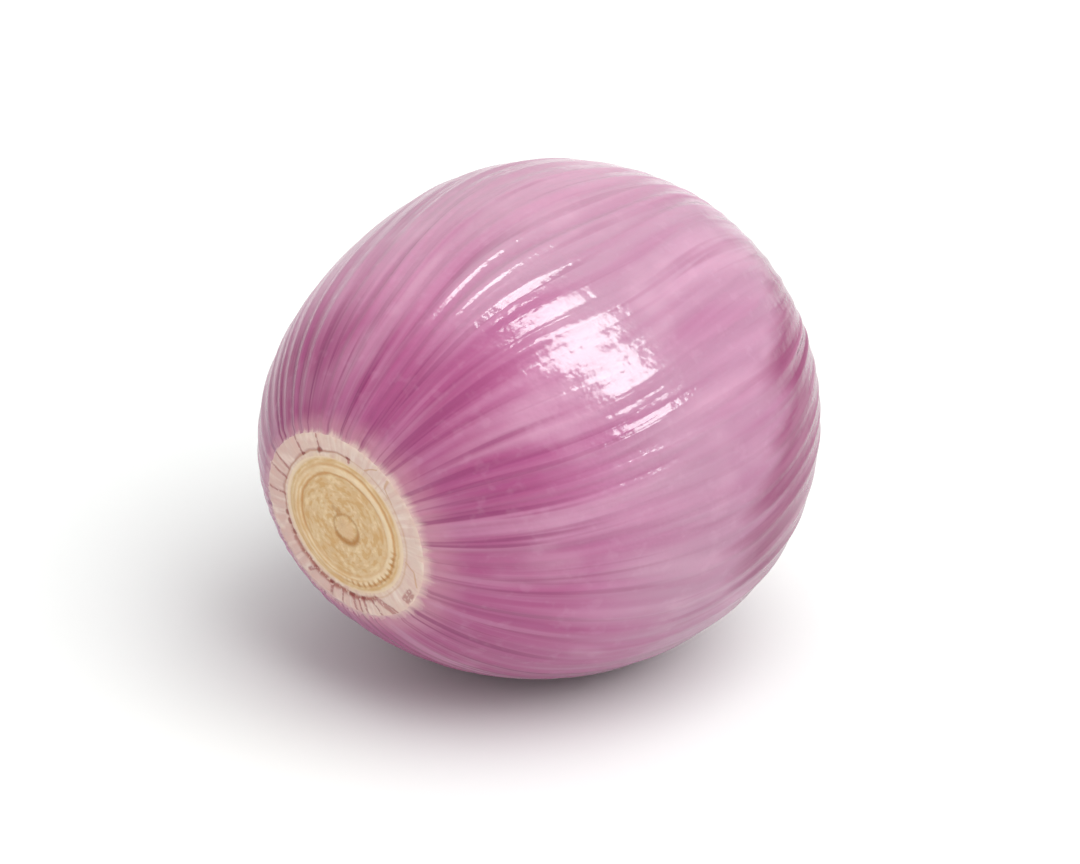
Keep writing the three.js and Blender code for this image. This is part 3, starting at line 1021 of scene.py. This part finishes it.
def make_neck():
    material, tree, shader = new_finish("neck_flesh")
    path = attribute(tree, "vein_path")
    place = attribute(tree, "bulb_place")
    radius, _, _, _ = clock_face(tree)
    waver = use_group(tree, SPECKLE, Place=place, Size=2.4, Seed=31.0) - 0.5
    fibre = use_group(tree, STREAKS, Path=path, Across=40.0, Along=0.3, Detail=1.0, Seed=32.0)
    cells = use_group(tree, SPECKLE, Place=place, Size=0.25, Seed=33.0)
    wavering = radius + waver * 0.5
    films = ring_line(tree, wavering, LAYER_RADII[0], 0.14)
    for film_radius in FILM_RADII:
        films = films.math("MAXIMUM", ring_line(tree, wavering, film_radius, 0.12))

    colour = painted_over(
        tree, paint("#E9DDC2"),
        (radius.between(4.6, 1.0) * 0.7, paint("#E2D29A")),
        (radius.between(1.4, 0.3) * 0.6, paint("#CFC27C")),
        (fibre.between(0.52, 0.66) * 0.3, paint("#F1E8D6")),
        (cells.between(0.55, 0.7) * 0.25, paint("#D9C79F")),
        (films * 0.6, paint("#BFA271")),
        (radius.between(6.3, 6.9) * 0.7, paint("#D9B7AC")),
    )
    feed(tree, shader.inputs["Base Color"], colour)
    height = (fibre - 0.5) * 0.05 + (cells - 0.5) * 0.03 - films * 0.05
    raise_surface(tree, shader, height)
    feed(tree, shader.inputs["Roughness"], (cells - 0.5) * 0.2 + 0.42)
    let_light_in(shader, 0.35, 1.4, (1.0, 0.75, 0.45))
    return material


neck_finish = make_neck()
print("neck layers step down at", LAYER_RADII, "mm")

# %% [markdown]
# Now the tree runs. An empty mesh carries it as a modifier; the result is copied out as a plain
# mesh and the modifier's object is thrown away. The bulb is then set down as the frame has it:
# middle and top where the frame's are, and what would lie under the ground pressed flat,
# because that is the spot on which it rests.

# %% The bulb
def wrap_bulb():
    """The wrapped sheet as a plain mesh, still round its own middle."""
    sheet = table_object("sheet", [])
    wrap = sheet.modifiers.new("wrap", "NODES")
    wrap.node_group = wrap_tree
    sockets = {item.name: item.identifier for item in wrap_tree.interface.items_tree
               if item.in_out == "INPUT"}
    given = {"Rib table": ribs, "Profile": profile, "Skin": skin_finish,
             "Collar": collar_finish, "Disc": disc_finish, "Neck": neck_finish}
    for name, value in given.items():
        wrap[sockets[name]] = value
    evaluated = sheet.evaluated_get(bpy.context.evaluated_depsgraph_get())
    mesh = bpy.data.meshes.new_from_object(evaluated)
    mesh.name = "pink_shallot"
    # The empty mesh brought one blank slot along, in front of the four finishes
    if mesh.materials[0] is None:
        mesh.materials.pop(index=0)
    for spare in (sheet, ribs, profile):
        bpy.data.objects.remove(spare)
    return mesh


def set_down(mesh, low, high):
    """Moves the mesh to the node's box, presses its underside flat and returns the move."""
    points = [vertex.co for vertex in mesh.vertices]
    lowest = Vector([min(point[axis] for point in points) for axis in range(3)])
    highest = Vector([max(point[axis] for point in points) for axis in range(3)])
    move = (low + high - lowest - highest) / 2
    move.z = high.z - highest.z
    mesh.transform(Matrix.Translation(move))
    for vertex in mesh.vertices:
        vertex.co.z = max(vertex.co.z, 0.0)
    mesh.update()
    return move


bulb_mesh = wrap_bulb()
girth_centre = set_down(bulb_mesh, *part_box("shallot_bulb"))
bulb = bpy.data.objects.new("pink_shallot", bulb_mesh)
bpy.context.scene.collection.objects.link(bulb)
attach(bulb, "root")
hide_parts("shallot_bulb")
print("faces:", len(bulb_mesh.polygons), "materials:", [m.name for m in bulb_mesh.materials])
print("girth centre at", [round(value / MM, 2) for value in girth_centre], "mm")

# %% [markdown]
# The stage is a wide pale floor, too large for its edge to be seen. It is only there to catch
# the soft shadow.

# %% The floor
# Pale grey, with a touch of green against the pink that the bulb throws on it
FLOOR_COLOUR = (0.755, 0.767, 0.755, 1.0)
FLOOR_HALF_SIDE = 1.5
# It lies a hair under the bulb's flat spot, so that the two faces don't meet in one plane
FLOOR_LEVEL = -0.02 * MM


def make_floor():
    half = FLOOR_HALF_SIDE
    corners = [(-half, -half), (half, -half), (half, half), (-half, half)]
    mesh = bpy.data.meshes.new("floor")
    mesh.from_pydata([(x, y, FLOOR_LEVEL) for x, y in corners], [], [(0, 1, 2, 3)])
    floor = bpy.data.objects.new("floor", mesh)
    bpy.context.scene.collection.objects.link(floor)
    material, _, shader = new_finish("pale_floor")
    shader.inputs["Base Color"].default_value = FLOOR_COLOUR
    set_constants(shader, Roughness=0.7, Specular_IOR_Level=0.2)
    mesh.materials.append(material)
    return floor


floor = make_floor()
print("floor side:", round(floor.dimensions.x, 2), "m")

# %% [markdown]
# The camera stands half a metre off, to the right of the root end and above it, with a long
# lens, so the small bulb fills the picture without being stretched by nearness. It leans a
# little to the left, as a camera does that looks down past its own middle.

# %% The camera
CAMERA_AZIMUTH = math.radians(40.57)
CAMERA_ELEVATION = math.radians(27.62)
CAMERA_DISTANCE = 502.9 * MM
CAMERA_LEAN = math.radians(1.77)
CAMERA_LENS = 230
AIM_RIGHT = -1.3 * MM
AIM_UP = -1.3 * MM


def place_camera():
    """The camera, and the axes of its level view: right, up and towards it."""
    data = bpy.data.cameras.new("camera")
    data.lens = CAMERA_LENS
    camera = bpy.data.objects.new("camera", data)
    bpy.context.scene.collection.objects.link(camera)
    direction = Vector((
        math.sin(CAMERA_AZIMUTH) * math.cos(CAMERA_ELEVATION),
        -math.cos(CAMERA_AZIMUTH) * math.cos(CAMERA_ELEVATION),
        math.sin(CAMERA_ELEVATION),
    ))
    camera.location = girth_centre + direction * CAMERA_DISTANCE
    level = (-direction).to_track_quat("-Z", "Y").to_matrix()
    aim = girth_centre + level @ Vector((AIM_RIGHT, AIM_UP, 0))
    look = (aim - camera.location).to_track_quat("-Z", "Y")
    lean = Matrix.Rotation(CAMERA_LEAN, 3, "Z")
    camera.rotation_euler = (look.to_matrix() @ lean).to_euler()
    bpy.context.scene.camera = camera
    return camera, level


camera, camera_axes = place_camera()
print("camera at", [round(value, 3) for value in camera.location], "m")

# %% [markdown]
# The light is a studio's: white walls all round, and three lamps up and to the right of the
# camera. Only the tall strip is mirrored in the glossy skin, as a streaky white patch, so its
# direction, width and lean are chosen by where that patch should lie. It is faintly green,
# because a white lamp's patch would come out pink on pink skin. A side box and a large overhead
# one light the bulb and soften its shadow, and aren't mirrored. One box could do all of it, but
# then the patch couldn't be set apart from the shading. The camera sees none of the lamps.

# %% The light
WALL_BRIGHTNESS = 0.69
STRIP_TINT = (0.84, 1.0, 0.95)
STRIP_LEAN = math.radians(14)


def add_softbox(name, direction, distance, width, height, power, lean=0.0):
    """A lamp that faces the bulb. Its direction is right, up and towards the camera."""
    direction = camera_axes @ Vector(direction)
    data = bpy.data.lights.new(name, "AREA")
    data.shape = "RECTANGLE"
    data.size = width
    data.size_y = height
    data.energy = power
    lamp = bpy.data.objects.new(name, data)
    bpy.context.scene.collection.objects.link(lamp)
    lamp.location = girth_centre + direction.normalized() * distance
    facing = (-direction).to_track_quat("-Z", "Y").to_matrix()
    lamp.rotation_euler = (facing @ Matrix.Rotation(lean, 3, "Z")).to_euler()
    lamp.visible_camera = False
    return lamp


def light_walls():
    """White walls all round, as an even world."""
    world = bpy.data.worlds.new("studio")
    world.use_nodes = True
    walls = world.node_tree.nodes["Background"]
    walls.inputs["Color"].default_value = (1.0, 1.0, 1.0, 1.0)
    walls.inputs["Strength"].default_value = WALL_BRIGHTNESS
    bpy.context.scene.world = world


light_walls()
strip = add_softbox("strip", (0.36, 0.61, 0.7), distance=0.95, width=0.34, height=0.98,
                    power=19.5, lean=STRIP_LEAN)
strip.data.color = STRIP_TINT
strip.visible_diffuse = False
side = add_softbox("side", (0.4, 0.6, 0.67), distance=0.95, width=0.9, height=0.9, power=7.2)
side.visible_glossy = False
overhead = add_softbox("overhead", (0.4, 0.79, 0.47), distance=1.4, width=2.4, height=2.4,
                       power=13.5)
overhead.visible_glossy = False
bpy.context.scene.view_settings.view_transform = "Standard"
